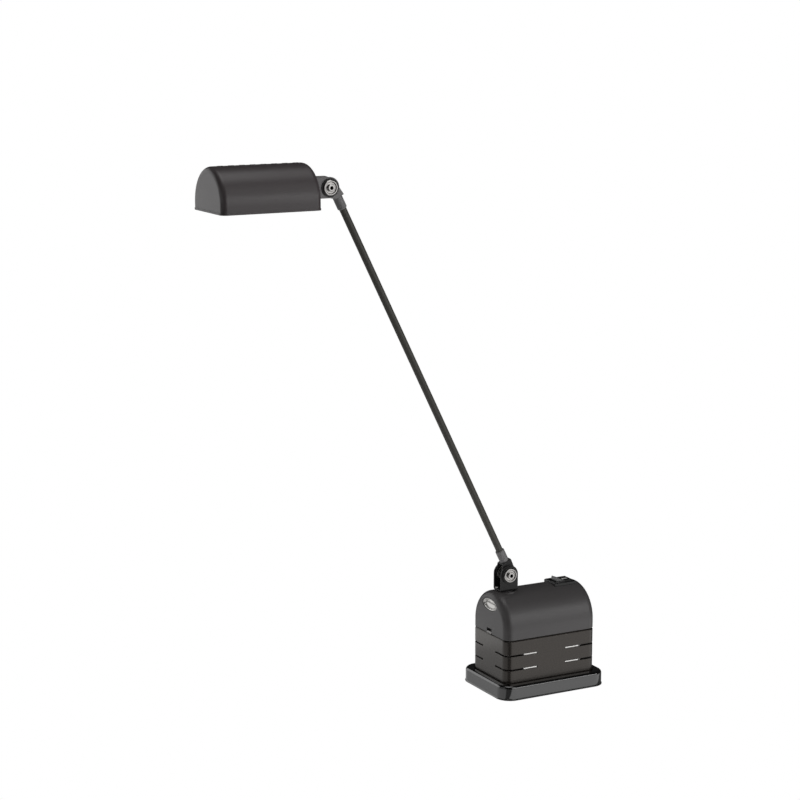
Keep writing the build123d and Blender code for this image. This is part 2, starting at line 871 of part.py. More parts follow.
def stop_pin(reach):
    """Pin riveted through the bracket's plate, its tip in the groove of the seat."""
    plate_top = -reach + bracket_plate
    low = -reach - seat_gap - pivot_washer_thickness - stop_pin_reach
    head = disc(stop_pin_head_radius, plate_top, plate_top + stop_pin_head, stop_pin_at)
    head = fillet(head.edges().group_by(Axis.Z)[-1], stop_pin_head / 2)
    return head + disc(stop_pin_radius, low, plate_top, stop_pin_at)


# ---- hinge hardware, built with the hinge axis along Z and the bolt's head up

def along_hinge(solid):
    return Rot(90, 0, 0) * solid


ear_face = bracket_outer / 2
cup_seat = ear_face + insulator_thickness


def hinge_bolt():
    seat = cup_seat + cup_floor
    head = disc(bolt_head_radius, seat, seat + bolt_head_height)
    head = fillet(head.edges().group_by(Axis.Z)[-1], bolt_head_round)
    shank = disc(bolt_radius, -seat - nut_height - bolt_end, seat)
    top = seat + bolt_head_height
    return head + shank - hexagon(bolt_socket, top - bolt_socket_depth, top + past)


def hinge_nut():
    seat = -cup_seat - cup_floor
    face = seat - nut_height
    turned = spun(
        (0, face),
        (nut_across / 2, face),
        (nut_across, seat - nut_height / 2),
        (nut_across, seat),
        (0, seat),
    )
    nut = hexagon(nut_across, face, seat) & turned
    return nut - disc(bolt_radius + run_gap, face - past, seat + past)


def both_sides(solid):
    return [solid, mirror(solid, Plane.XY)]


def cups():
    """Dished washers: a raised rim around the bolt's head."""
    low = cup_seat
    top = low + cup_thickness
    cup = spun(
        (bolt_radius + run_gap, low),
        (cup_radius - cup_edge, low),
        (cup_radius, low + cup_edge),
        (cup_radius, top - cup_rim_round),
        (cup_radius - cup_rim_round, top),
        (cup_radius - cup_rim, top),
        (cup_radius - cup_rim - cup_slope, low + cup_floor),
        (bolt_radius + run_gap, low + cup_floor),
    )
    return both_sides(cup)


def insulators():
    hole = bolt_radius + run_gap
    body = disc(insulator_radius, ear_face, cup_seat)
    return both_sides(body - disc(hole, ear_face - past, cup_seat + past))


def contact_discs():
    body = disc(disc_radius, yoke_inner - disc_thickness, yoke_inner)
    return both_sides(body - disc(bolt_radius + run_gap, 0, yoke_outer))


def spacer():
    reach = yoke_inner - disc_thickness
    return disc(spacer_radius, -reach, reach) - disc(bolt_radius + run_gap, -2 * reach, 2 * reach)


# ---- arm, built along Z from the foot hinge

def yoke(offset):
    """Folded end of the arm: two ears and a web that carries the sleeve."""
    rim = CenterArc((0, 0), yoke_ear_radius, 0, 360)
    web = Line((offset - yoke_web_low, yoke_reach), (offset + yoke_web_high, yoke_reach))
    body = extrude(Plane.XZ * make_hull([*rim.edges(), *web.edges()]), yoke_outer, both=True)
    wide = 2 * yoke_reach
    body -= block((-wide, wide), (-yoke_inner, yoke_inner), (-wide, yoke_reach - yoke_sheet))
    bends = [
        e for e in body.edges().filter_by(Axis.X)
        if abs(e.center().Z - yoke_reach) < close_by and abs(e.center().Y) > yoke_inner
    ]
    body = fillet(bends, yoke_bend)
    body -= Rot(90, 0, 0) * Cylinder(bolt_radius + run_gap, 4 * yoke_outer)
    return body - disc(spigot_radius + run_gap, 0, wide, (offset, 0))


def sleeve(offset):
    """Turned ferrule riveted into the web; the tube drops into its bore."""
    shoulder = yoke_reach + sleeve_shoulder
    inside = yoke_reach - yoke_sheet
    top = yoke_reach + sleeve_length
    body = spun(
        (sleeve_bore, inside - rivet_height),
        (rivet_radius, inside - rivet_height),
        (rivet_radius, inside),
        (spigot_radius, inside),
        (spigot_radius, yoke_reach),
        (sleeve_radius, yoke_reach),
        (sleeve_radius, top - sleeve_nose),
        (sleeve_radius - sleeve_nose_width, top),
        (tube_radius + run_gap, top),
        (tube_radius + run_gap, shoulder),
        (sleeve_bore, shoulder),
    )
    return Pos(offset, 0, 0) * body


def arm_tube():
    low = yoke_reach + sleeve_shoulder
    high = hinge_span - low
    tube = disc(tube_radius, low, high, (foot_offset, 0))
    return tube - disc(tube_radius - tube_wall, low - past, high + past, (foot_offset, 0))


def arm_leads():
    low = yoke_reach - yoke_sheet
    ends = (low, hinge_span - low)
    return [disc(lead_radius, *ends, (foot_offset, sy * lead_spread)) for sy in (-1, 1)]


def other_end(solid):
    """A piece built at a hinge, turned over and moved to the head's hinge."""
    return Pos(head_shift, 0, 0) * mirror(solid, Plane.XY.offset(hinge_span / 2))


# ---- head, built about its own middle with the rim at z = 0

posts_at = [(-post_spacing / 2, 0), (post_spacing / 2, 0)]
head_seat = Location((head_length / 2, 0, rim_below_hinge), (0, 90, 0))


def louvres():
    """Where the slots across the crown stand."""
    first = louvre_shift - louvre_pitch * (louvre_count - 1) / 2
    return [first + louvre_pitch * n for n in range(louvre_count)]


def head_shell():
    body = head_form(0, 0) + rim_strip()
    for x in louvres():
        body += louvre_collar(x)
    body -= head_form(head_wall, -past)
    roof = head_height - head_wall
    post_low = roof - post_length
    for at in posts_at:
        body += disc(post_radius, post_low, roof + head_wall / 2, at)
    for x in louvres():
        body -= louvre_block(x, 0, roof - past, head_height + past)
    for at in posts_at:
        body -= disc(post_screw_radius + run_gap, post_low - past, roof, at)
    body += head_seat * pivot_boss() & head_form(0, 0)
    for cutter in pivot_cutters(head_turn):
        body -= head_seat * cutter
    return body


def rim_strip():
    """Bead round the open edge."""
    strip = barrel(
        head_length + 2 * rim_bead, head_width + 2 * rim_bead, head_spring, 0, head_edge + rim_bead
    )
    return strip & block((-head_length, head_length), (-head_width, head_width), (0, rim_bead_height))


def louvre_block(x, grow, low, high):
    half_x = louvre_opening / 2 + grow
    half_y = louvre_length / 2 + grow
    return block((x - half_x, x + half_x), (-half_y, half_y), (low, high))


def louvre_collar(x):
    """Raised edge round a slot."""
    raised = barrel(head_length, head_width + 2 * louvre_lip, head_spring, 0, head_edge)
    return raised & louvre_block(x, louvre_lip_width, head_height - head_wall, head_height + past)


def trough(radius, low, inset=0):
    """Solid half round along X with straight sides down to a level."""
    ends = (reflector_far + inset, reflector_near - inset)
    body = lying(radius, *ends, 0, reflector_axis)
    body += block(ends, (-radius, radius), (low, reflector_axis))
    return body & block(ends, (-radius, radius), (low, reflector_axis + radius))


def reflector():
    """Bright vaulted sheet with closed ends and a narrow flange round its mouth."""
    level = reflector_sheet
    outer = trough(reflector_radius + reflector_sheet, level)
    hollow = trough(reflector_radius, -past, reflector_sheet)
    flange_y = reflector_radius + reflector_sheet + reflector_flange
    flange = block(
        (reflector_far - reflector_flange, reflector_near + reflector_flange),
        (-flange_y, flange_y),
        (level, level + reflector_sheet),
    )
    body = outer + flange - hollow
    for at in posts_at:
        body -= disc(post_screw_radius + run_gap, reflector_axis, head_height, at)
    wires = (reflector_near - 2 * reflector_sheet, reflector_near + reflector_sheet)
    body -= block(
        wires, (-wire_slot_width / 2, wire_slot_width / 2),
        (lamp_axis - wire_slot_height / 2, lamp_axis + wire_slot_height / 2),
    )
    for sign in (-1, 1):
        body -= lying(holder_screw_radius + run_gap, *wires, 0, lamp_axis + sign * holder_screw_offset)
    return body


def post_screws():
    """Pan heads inside the reflector, shanks up into the posts."""
    seat = reflector_axis + reflector_radius
    under = trough(reflector_radius - run_gap / 2, 0)
    screws = []
    for at in posts_at:
        head = disc(post_screw_head, seat - post_screw_head_height, seat, at) & under
        shank = disc(
            post_screw_radius, seat - post_screw_grip, head_height - head_wall - post_screw_grip, at
        )
        screws.append(head + shank)
    return screws


def lamp_holder():
    """Ceramic block on the end plate, with a socket for the capsule's pinch."""
    back = holder_face + holder_length
    body = block(
        (holder_face, back),
        (-holder_width / 2, holder_width / 2),
        (lamp_axis - holder_height / 2, lamp_axis + holder_height / 2),
    )
    body = chamfer(body.edges().filter_by(Axis.X), holder_bevel)
    body -= block(
        (holder_face - past, holder_face + holder_socket_depth),
        (-pinch_width / 2 - drop_gap, pinch_width / 2 + drop_gap),
        (lamp_axis - pinch_thickness / 2 - drop_gap, lamp_axis + pinch_thickness / 2 + drop_gap),
    )
    depth = holder_face + holder_socket_depth + contact_pin_length
    for sign in (-1, 1):
        pin_y = sign * contact_pin_pitch / 2
        screw_z = lamp_axis + sign * holder_screw_offset
        body -= lying(contact_pin_radius + run_gap, holder_face, depth, pin_y, lamp_axis)
        body -= lying(holder_screw_radius + run_gap, holder_face - past, back + past, 0, screw_z)
    return body


def lying(radius, low, high, y, z):
    """A round bar along X."""
    return Location(((low + high) / 2, y, z), (0, 90, 0)) * Cylinder(radius, high - low)


def holder_screws():
    screws = []
    back = holder_face + holder_length
    for sign in (-1, 1):
        z = lamp_axis + sign * holder_screw_offset
        head = lying(holder_screw_head, holder_face - holder_screw_head_height, holder_face, 0, z)
        shank = lying(holder_screw_radius, holder_face, back + 2 * reflector_sheet, 0, z)
        screws.append(head + shank)
    return screws


def capsule():
    """Quartz capsule: round bulb, flat pinch and two contact pins, lying along X."""
    socket = holder_face + holder_socket_depth
    pinch_end = socket - pinch_length
    bulb_end = pinch_end - capsule_length
    bulb = lying(capsule_radius, bulb_end, pinch_end, 0, lamp_axis)
    bulb = fillet(bulb.edges().sort_by(Axis.X)[0], capsule_tip_round)
    bulb = fillet(bulb.edges().sort_by(Axis.X)[-1], capsule_neck_round)
    pinch = block(
        (pinch_end - past, socket),
        (-pinch_width / 2, pinch_width / 2),
        (lamp_axis - pinch_thickness / 2, lamp_axis + pinch_thickness / 2),
    )
    body = bulb + pinch
    for sign in (-1, 1):
        y = sign * contact_pin_pitch / 2
        body += lying(contact_pin_radius, socket - past, socket + contact_pin_length, y, lamp_axis)
    return body


# ---- the lamp

head_pivot = head_place * head_seat

nodes = {
    "foot_pad": foot_pad(),
    "tray": tray(),
    "foot_screws": foot_screws(),
    "lower_housing": lower_housing(),
    "latch_clips": latch_clips(),
    "top_cover": top_cover(),
    "end_inlay": end_inlay(),
    "cord_inlet": cord_inlet(),
    "transformer_core": transformer_core(),
    "bobbin": bobbin(),
    "coil": coil(),
    "transformer_strap": strap(),
    "strap_screws": strap_screws(),
    "terminal_block": terminal_block(),
    "switch_body": switch_body(),
    "switch_tabs": switch_tabs(),
    "rocker": rocker(),
    "foot_pivot_screw": foot_pivot * pivot_screw(),
    "foot_pivot_washer": foot_pivot * pivot_washer(),
    "foot_pivot_nut": foot_pivot * pivot_nut(),
    "fork": foot_place * u_bracket(foot_reach),
    "fork_stop_pin": foot_place * stop_pin(foot_reach),
    "lower_yoke": arm_place * yoke(foot_offset),
    "lower_sleeve": arm_place * sleeve(foot_offset),
    "arm_tube": arm_place * arm_tube(),
    "arm_leads": [arm_place * lead for lead in arm_leads()],
    "upper_sleeve": arm_place * other_end(sleeve(head_offset)),
    "upper_yoke": arm_place * other_end(yoke(head_offset)),
    "head_bracket": head_bracket_place * u_bracket(head_reach),
    "head_stop_pin": head_bracket_place * stop_pin(head_reach),
    "head_pivot_screw": head_pivot * pivot_screw(),
    "head_pivot_washer": head_pivot * pivot_washer(),
    "head_pivot_nut": head_pivot * pivot_nut(),
    "head_shell": head_place * head_shell(),
    "reflector": head_place * reflector(),
    "reflector_screws": [head_place * screw for screw in post_screws()],
    "lamp_holder": head_place * lamp_holder(),
    "holder_screws": [head_place * screw for screw in holder_screws()],
    "halogen_capsule": head_place * capsule(),
}
for name, place in (("foot", foot_place), ("head", head_hinge_place)):
    nodes[f"{name}_hinge_bolt"] = place * along_hinge(hinge_bolt())
    nodes[f"{name}_hinge_nut"] = place * along_hinge(hinge_nut())
    nodes[f"{name}_hinge_spacer"] = place * along_hinge(spacer())
    nodes[f"{name}_hinge_cups"] = [place * along_hinge(cup) for cup in cups()]
    nodes[f"{name}_hinge_insulators"] = [place * along_hinge(ring) for ring in insulators()]
    nodes[f"{name}_contact_discs"] = [place * along_hinge(plate) for plate in contact_discs()]

os.makedirs("parts", exist_ok=True)
for name, shape in nodes.items():
    if isinstance(shape, list):
        shape = Compound(children=[Part() + solid for solid in shape])
    export_step(shape, f"parts/{name}.step")
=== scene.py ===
import json
import math

import bpy
import bmesh
from mathutils import Matrix, Vector


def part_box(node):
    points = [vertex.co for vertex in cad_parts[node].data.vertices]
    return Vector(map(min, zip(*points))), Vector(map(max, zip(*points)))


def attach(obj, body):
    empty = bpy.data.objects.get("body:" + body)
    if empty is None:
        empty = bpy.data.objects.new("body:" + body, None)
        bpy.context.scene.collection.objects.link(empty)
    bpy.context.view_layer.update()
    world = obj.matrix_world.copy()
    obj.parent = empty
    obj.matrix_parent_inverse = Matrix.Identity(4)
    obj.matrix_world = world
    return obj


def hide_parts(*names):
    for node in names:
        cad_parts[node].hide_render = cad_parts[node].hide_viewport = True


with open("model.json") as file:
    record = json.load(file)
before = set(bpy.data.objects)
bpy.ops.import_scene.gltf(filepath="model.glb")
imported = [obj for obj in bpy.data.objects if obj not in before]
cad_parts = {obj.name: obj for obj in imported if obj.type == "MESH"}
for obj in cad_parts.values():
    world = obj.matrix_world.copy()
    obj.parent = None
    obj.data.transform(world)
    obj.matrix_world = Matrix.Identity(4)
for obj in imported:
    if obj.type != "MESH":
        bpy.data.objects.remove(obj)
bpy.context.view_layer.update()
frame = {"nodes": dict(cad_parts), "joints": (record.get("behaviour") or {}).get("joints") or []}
print("frame loaded")

nodes = frame["nodes"]
joints = {j["name"]: j for j in frame["joints"]}
scene = bpy.context.scene
mm = 0.001


# camera: turn and tilt in degrees, lens and sensor in millimetres
cameraPlan = {
    "place": (-1.0369, -1.6796, 0.6514),
    "turn": 28.08,
    "tilt": 11.03,
    "lens": 99.30,
    "sensor": 36.0,
    "near": 0.01,
}


def makeCamera(plan):
    data = bpy.data.cameras.new("camera")
    data.lens = plan["lens"]
    data.sensor_width = plan["sensor"]
    data.clip_start = plan["near"]
    camera = bpy.data.objects.new("camera", data)
    camera.location = plan["place"]
    camera.rotation_euler = (math.radians(90 - plan["tilt"]), 0, math.radians(-plan["turn"]))
    scene.collection.objects.link(camera)
    scene.camera = camera


makeCamera(cameraPlan)
scene.view_settings.view_transform = "Standard"
print("camera placed")


# node maths: a socket that can be added, multiplied and so on
class Value:
    def __init__(self, graph, socket):
        self.graph = graph
        self.socket = socket

    def maths(self, operation, *others):
        return self.graph.node("ShaderNodeMath", {"operation": operation},
                               dict(enumerate((self, *others))))

    def __add__(self, other):
        return self.maths("ADD", other)

    def __sub__(self, other):
        return self.maths("SUBTRACT", other)

    def __mul__(self, other):
        return self.maths("MULTIPLY", other)

    def __truediv__(self, other):
        return self.maths("DIVIDE", other)

    def __rsub__(self, other):
        return self.graph.node("ShaderNodeMath", {"operation": "SUBTRACT"}, {0: other, 1: self})

    def __rtruediv__(self, other):
        return self.graph.node("ShaderNodeMath", {"operation": "DIVIDE"}, {0: other, 1: self})

    def __pow__(self, other):
        return self.maths("POWER", other)

    __radd__ = __add__
    __rmul__ = __mul__

    def abs(self):
        return self.maths("ABSOLUTE")

    def sine(self):
        return self.maths("SINE")

    def least(self, other):
        return self.maths("MAXIMUM", other)

    def under(self, limit, soft):
        return self.between(limit - soft, limit + soft, 1.0, 0.0)

    def between(self, low, high, outLow=0.0, outHigh=1.0):
        return self.graph.node("ShaderNodeMapRange", {"clamp": True},
                               {"Value": self, "From Min": low, "From Max": high,
                                "To Min": outLow, "To Max": outHigh})


class Graph:
    def __init__(self, tree):
        self.tree = tree

    def node(self, kind, settings=None, sockets=None, output=0):
        made = self.tree.nodes.new(kind)
        for key, value in (settings or {}).items():
            setattr(made, key, value)
        for key, value in (sockets or {}).items():
            self.feed(made.inputs[key], value)
        return Value(self, made.outputs[output])

    def feed(self, socket, value):
        if isinstance(value, Value):
            self.tree.links.new(value.socket, socket)
        else:
            socket.default_value = value

    def parts(self, vector):
        made = self.tree.nodes.new("ShaderNodeSeparateXYZ")
        self.feed(made.inputs[0], vector)
        return [Value(self, made.outputs[i]) for i in range(3)]


class Shader(Graph):
    socketOf = {
        "baseColor": "Base Color",
        "roughness": "Roughness",
        "metallic": "Metallic",
        "ior": "IOR",
        "normal": "Normal",
        "specular": "Specular IOR Level",
        "tint": "Specular Tint",
        "transmission": "Transmission Weight",
        "coat": "Coat Weight",
        "coatRoughness": "Coat Roughness",
    }

    def __init__(self, name):
        self.material = bpy.data.materials.new(name)
        self.material.use_nodes = True
        super().__init__(self.material.node_tree)
        self.surface = self.tree.nodes["Principled BSDF"]

    def coordinates(self, place=(0, 0, 0), scale=(1, 1, 1)):
        # metres, measured from a place on the lamp
        at = self.node("ShaderNodeTexCoord", output=3)
        return self.node("ShaderNodeMapping", {"vector_type": "TEXTURE"},
                         {"Vector": at, "Location": place, "Scale": scale})

    def noise(self, at, scale, detail=3.0, roughness=0.5):
        return self.node("ShaderNodeTexNoise", {"noise_dimensions": "3D"},
                         {"Vector": at, "Scale": scale, "Detail": detail, "Roughness": roughness})

    def cells(self, at, scale, output=0):
        return self.node("ShaderNodeTexVoronoi", {"feature": "F1"},
                         {"Vector": at, "Scale": scale}, output)

    def mix(self, factor, first, second):
        return self.node("ShaderNodeMix", {"data_type": "RGBA"},
                         {0: factor, 6: first, 7: second}, output=2)

    def bump(self, height, distance, strength=1.0, edge=0.0, samples=4):
        # edge is the radius that sharp corners seem to be worn to
        sockets = {"Height": height, "Distance": distance, "Strength": strength}
        if edge:
            sockets["Normal"] = self.node("ShaderNodeBevel", {"samples": samples},
                                          {"Radius": edge})
        return self.node("ShaderNodeBump", {}, sockets)

    def finish(self, **sockets):
        for key, value in sockets.items():
            self.feed(self.surface.inputs[self.socketOf[key]], value)
        return self.material


class Tree(Graph):
    # a geometry tree with named inputs, run once into a plain mesh
    def __init__(self, name, **inputs):
        super().__init__(bpy.data.node_groups.new(name, "GeometryNodeTree"))
        self.name = name
        self.values = inputs
        self.sockets = {}
        for key, value in inputs.items():
            kind = "NodeSocketInt" if isinstance(value, int) else "NodeSocketFloat"
            self.sockets[key] = self.tree.interface.new_socket(key, in_out="INPUT",
                                                               socket_type=kind)
        self.tree.interface.new_socket("Geometry", in_out="OUTPUT",
                                       socket_type="NodeSocketGeometry")
        entry = self.tree.nodes.new("NodeGroupInput")
        self.given = {key: Value(self, entry.outputs[key]) for key in inputs}

    def vector(self, x=0.0, y=0.0, z=0.0):
        return self.node("ShaderNodeCombineXYZ", {}, {0: x, 1: y, 2: z})

    def line(self, count, step, start):
        return self.node("GeometryNodeMeshLine", {"mode": "OFFSET"},
                         {"Count": count, "Start Location": start, "Offset": step})

    def rectangle(self, width, height, move=None):
        curve = self.node("GeometryNodeCurvePrimitiveQuadrilateral", {"mode": "RECTANGLE"},
                          {"Width": width, "Height": height})
        return self.move(curve, move) if move else curve

    def move(self, geometry, by=(0, 0, 0), turn=(0, 0, 0)):
        return self.node("GeometryNodeTransform", {},
                         {"Geometry": geometry, "Translation": by, "Rotation": turn})

    def join(self, *geometries):
        made = self.tree.nodes.new("GeometryNodeJoinGeometry")
        for geometry in reversed(geometries):
            self.feed(made.inputs[0], geometry)
        return Value(self, made.outputs[0])

    def scatter(self, points, piece, turn=(0, 0, 0), scale=(1, 1, 1)):
        return self.node("GeometryNodeInstanceOnPoints", {},
                         {"Points": points, "Instance": piece, "Rotation": turn, "Scale": scale})

    def sheet(self, outline, thickness):
        # closed curves, holes among them, filled and given a thickness
        flat = self.node("GeometryNodeFillCurve", {}, {0: outline})
        raised = self.node("GeometryNodeExtrudeMesh", {"mode": "FACES"},
                           {"Mesh": flat, "Offset Scale": thickness, "Individual": False})
        return self.join(raised, flat)

    def jitter(self, points, reach, seed):
        # each point moved a little along X and Z
        low = self.vector(-1 * reach, 0.0, -1 * reach)
        high = self.vector(reach, 0.0, reach)
        shift = self.node("FunctionNodeRandomValue", {"data_type": "FLOAT_VECTOR"},
                          {0: low, 1: high, "Seed": seed})
        return self.node("GeometryNodeSetPosition", {}, {"Geometry": points, "Offset": shift})

    def make(self, geometry, material, body, slot, replaced=()):
        real = self.node("GeometryNodeRealizeInstances", {}, {0: geometry})
        dressed = self.node("GeometryNodeSetMaterial", {},
                            {"Geometry": real, "Material": material})
        self.feed(self.tree.nodes.new("NodeGroupOutput").inputs[0], dressed)
        piece = bpy.data.objects.new(self.name, bpy.data.meshes.new(self.name + "Start"))
        scene.collection.objects.link(piece)
        modifier = piece.modifiers.new(self.name, "NODES")
        modifier.node_group = self.tree
        for key, value in self.values.items():
            modifier[self.sockets[key].identifier] = value
        evaluated = piece.evaluated_get(bpy.context.evaluated_depsgraph_get())
        mesh = bpy.data.meshes.new_from_object(evaluated)
        piece.modifiers.clear()
        piece.data = mesh
        tidyMesh(mesh)
        return place(piece, body, slot, replaced)


def tidyMesh(mesh, weld=0.000002):
    # doubled corners joined, faces turned outwards
    work = bmesh.new()
    work.from_mesh(mesh)
    bmesh.ops.remove_doubles(work, verts=work.verts, dist=weld)
    bmesh.ops.recalc_face_normals(work, faces=work.faces)
    work.to_mesh(mesh)
    work.free()


def place(piece, body, slot, replaced=()):
    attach(piece, body)
    if replaced:
        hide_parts(*replaced)
    print(piece.name, len(piece.data.polygons), "faces")
    return piece


def addMesh(name, vertices, faces, material, body, slot, replaced=(), smooth=True):
    mesh = bpy.data.meshes.new(name)
    mesh.from_pydata(vertices, [], faces)
    tidyMesh(mesh)
    if smooth:
        mesh.shade_smooth()
    mesh.materials.append(material)
    piece = bpy.data.objects.new(name, mesh)
    scene.collection.objects.link(piece)
    return place(piece, body, slot, replaced)


def colour(red, green, blue):
    return (red, green, blue, 1.0)


# most of a noise lies between these two
noiseSpan = (0.3, 0.7)

# shared by all painted and moulded surfaces; sizes are waves to the metre
paintPlan = {"cloudSize": 22.0, "cloud": 0.06, "cloudGloss": 0.015, "grainGloss": 0.03,
             "speckle": 0.35, "speckleLift": 1.35, "speckleSpan": (0.35, 0.75), "scuffSize": 260.0,
             "scuffSpan": (0.62, 0.78), "scuffGloss": 0.04, "coatShare": 0.8}


def paint(name, base, roughness, grain, depth, edge=0.0003, metallic=0.0, coat=0.0,
          specular=0.5, tint=(1, 1, 1)):
    # sprayed or moulded surface: fine grain, soft cloudiness in colour and gloss
    plan = paintPlan
    shader = Shader(name)
    at = shader.coordinates()
    fine = shader.noise(at, grain, detail=4.0, roughness=0.6)
    broad = shader.noise(at, plan["cloudSize"], detail=3.0)
    scuffs = shader.noise(at, plan["scuffSize"], detail=6.0, roughness=0.7)
    scuffs = scuffs.between(*plan["scuffSpan"])
    dark = tuple(c * (1 - plan["cloud"]) for c in base)
    light = tuple(c * (1 + plan["cloud"]) for c in base)
    speckle = tuple(c * plan["speckleLift"] for c in base)
    tone = shader.mix(broad, colour(*dark), colour(*light))
    tone = shader.mix(fine.between(*plan["speckleSpan"]) * plan["speckle"], tone, colour(*speckle))
    gloss = fine.between(*noiseSpan, -plan["grainGloss"], plan["grainGloss"])
    gloss += broad.between(*noiseSpan, -plan["cloudGloss"], plan["cloudGloss"])
    return shader.finish(
        baseColor=tone,
        roughness=gloss + roughness + scuffs * plan["scuffGloss"],
        metallic=metallic,
        coat=coat,
        coatRoughness=roughness * plan["coatShare"],
        specular=specular,
        tint=colour(*tint),
        normal=shader.bump(fine, depth, 1.0, edge),
    )


# shared by all turned metal
# the socketShade entries set the painted shade at the middle of a bolt's key socket
lathePlan = {"fineSize": 900.0, "smearSize": 180.0, "smearDark": 0.82, "smearSpan": (0.3, 0.75),
             "glossLow": 0.85, "glossHigh": 1.25, "socketShadeEdge": 0.00012,
             "socketShadeColour": (0.004, 0.004, 0.004), "socketShadeGloss": 0.4, "ringShare": 0.5,
             "fineShare": 0.4, "strength": 0.6, "edge": 0.0002}


def turnedMetal(name, base, roughness, centre, axis, pitch, depth, socket=0.0):
    # lathe rings round an axis through centre; axis is 0, 1 or 2 for X, Y or Z
    plan = lathePlan
    shader = Shader(name)
    at = shader.coordinates(place=centre)
    across = [way for i, way in enumerate(shader.parts(at)) if i != axis]
    radius = (across[0] * across[0] + across[1] * across[1]) ** 0.5
    rings = (radius * (2 * math.pi / pitch)).sine()
    fine = shader.noise(at, plan["fineSize"], detail=4.0)
    smear = shader.noise(at, plan["smearSize"], detail=3.0)
    tone = shader.mix(smear, colour(*(c * plan["smearDark"] for c in base)), colour(*base))
    gloss = smear.between(*plan["smearSpan"], roughness * plan["glossLow"],
                          roughness * plan["glossHigh"])
    if socket:
        # painted shade: the middle where a key fits is painted near-black and rougher, standing in
        # for the shade inside the socket recess
        hole = radius.under(socket, plan["socketShadeEdge"])
        tone = shader.mix(hole, tone, colour(*plan["socketShadeColour"]))
        gloss = gloss + hole * plan["socketShadeGloss"]
    relief = rings * plan["ringShare"] + fine * plan["fineShare"]
    return shader.finish(
        baseColor=tone,
        roughness=gloss,
        metallic=1.0,
        normal=shader.bump(relief, depth, plan["strength"], plan["edge"]),
    )


materialPlan = {
    "cover": {"base": (0.078, 0.0735, 0.074), "roughness": 0.4, "grain": 1500.0, "depth": 0.00004,
              "specular": 0.65},
    "housing": {"base": (0.0165, 0.0135, 0.0118), "roughness": 0.27, "grain": 2200.0,
                "depth": 0.000008, "specular": 0.5, "coat": 0.5, "tint": (1.0, 0.9, 0.8),
                "edge": 0.0015},
    "tray": {"base": (0.0015, 0.0015, 0.0016), "roughness": 0.15, "grain": 500.0, "depth": 0.00001,
             "coat": 1.0, "edge": 0.0005, "specular": 1.0},
    "head": {"base": (0.080, 0.068, 0.070), "roughness": 0.38, "grain": 1500.0, "depth": 0.00004,
             "specular": 0.65},
    # painted light: fork and bracket are a shaded and a lit copy of one dark hinge paint, the
    # bracket copy about ten times lighter
    "fork": {"base": (0.026, 0.025, 0.0255), "roughness": 0.4, "grain": 1400.0, "depth": 0.00003,
             "specular": 0.3},
    "bracket": {"base": (0.25, 0.243, 0.245), "roughness": 0.42, "grain": 1400.0,
                "depth": 0.00003},
    "tube": {"base": (0.092, 0.089, 0.078), "roughness": 0.4, "grain": 1200.0, "depth": 0.00002,
             "specular": 0.35},
    "switch": {"base": (0.012, 0.012, 0.0125), "roughness": 0.3, "grain": 2600.0,
               "depth": 0.00002},
    "rocker": {"base": (0.012, 0.012, 0.0125), "roughness": 0.25, "grain": 1500.0,
               "depth": 0.00001, "specular": 1.0, "coat": 1.0},
    "nylon": {"base": (0.007, 0.007, 0.007), "roughness": 0.5, "grain": 1800.0, "depth": 0.00003},
    "rubber": {"base": (0.012, 0.012, 0.012), "roughness": 0.75, "grain": 900.0, "depth": 0.00012},
    "paleNylon": {"base": (0.62, 0.60, 0.52), "roughness": 0.45, "grain": 1600.0,
                  "depth": 0.00002},
    "ceramic": {"base": (0.74, 0.71, 0.65), "roughness": 0.6, "grain": 1300.0, "depth": 0.00005},
    "blackSteel": {"base": (0.02, 0.02, 0.021), "roughness": 0.38, "grain": 1600.0,
                   "depth": 0.00002, "metallic": 0.6},
    "darkSpring": {"base": (0.22, 0.215, 0.21), "roughness": 0.35, "grain": 1600.0,
                   "depth": 0.00002, "metallic": 1.0},
    "markInk": {"base": (0.86, 0.86, 0.84), "roughness": 0.45, "grain": 1800.0,
                "depth": 0.00001},
}


# thin plates stacked along Y
laminationPlan = {"sheet": 0.0005, "stainSize": 120.0, "dark": (0.16, 0.155, 0.15),
                  "light": (0.42, 0.41, 0.39), "metallic": 0.9, "gloss": (0.3, 0.5),
                  "depth": 0.00008, "strength": 0.7}


def laminations(name, plan):
    shader = Shader(name)
    at = shader.coordinates()
    sheet = (shader.parts(at)[1] * (2 * math.pi / plan["sheet"])).sine()
    stain = shader.noise(at, plan["stainSize"], detail=4.0)
    tone = shader.mix(stain, colour(*plan["dark"]), colour(*plan["light"]))
    return shader.finish(baseColor=tone, metallic=plan["metallic"],
                         roughness=stain.between(*noiseSpan, *plan["gloss"]),
                         normal=shader.bump(sheet, plan["depth"], plan["strength"]))


# enamelled copper wire, turn above turn
copperPlan = {"wire": 0.0007, "stainSize": 90.0, "dark": (0.30, 0.10, 0.035),
              "light": (0.62, 0.27, 0.10), "metallic": 0.85, "gloss": 0.35,
              "depth": 0.00015, "strength": 0.8}


def copperTurns(name, plan):
    shader = Shader(name)
    at = shader.coordinates()
    turns = (shader.parts(at)[2] * (2 * math.pi / plan["wire"])).sine()
    stain = shader.noise(at, plan["stainSize"])
    tone = shader.mix(stain, colour(*plan["dark"]), colour(*plan["light"]))
    return shader.finish(baseColor=tone, metallic=plan["metallic"], roughness=plan["gloss"],
                         normal=shader.bump(turns, plan["depth"], plan["strength"]))


# zinc plate, each crystal with its own tone
zincPlan = {"flakeSize": 420.0, "fineSize": 1500.0, "dark": (0.48, 0.48, 0.46),
            "light": (0.70, 0.69, 0.66), "gloss": (0.26, 0.42), "depth": 0.00002,
            "strength": 0.5, "edge": 0.0002}


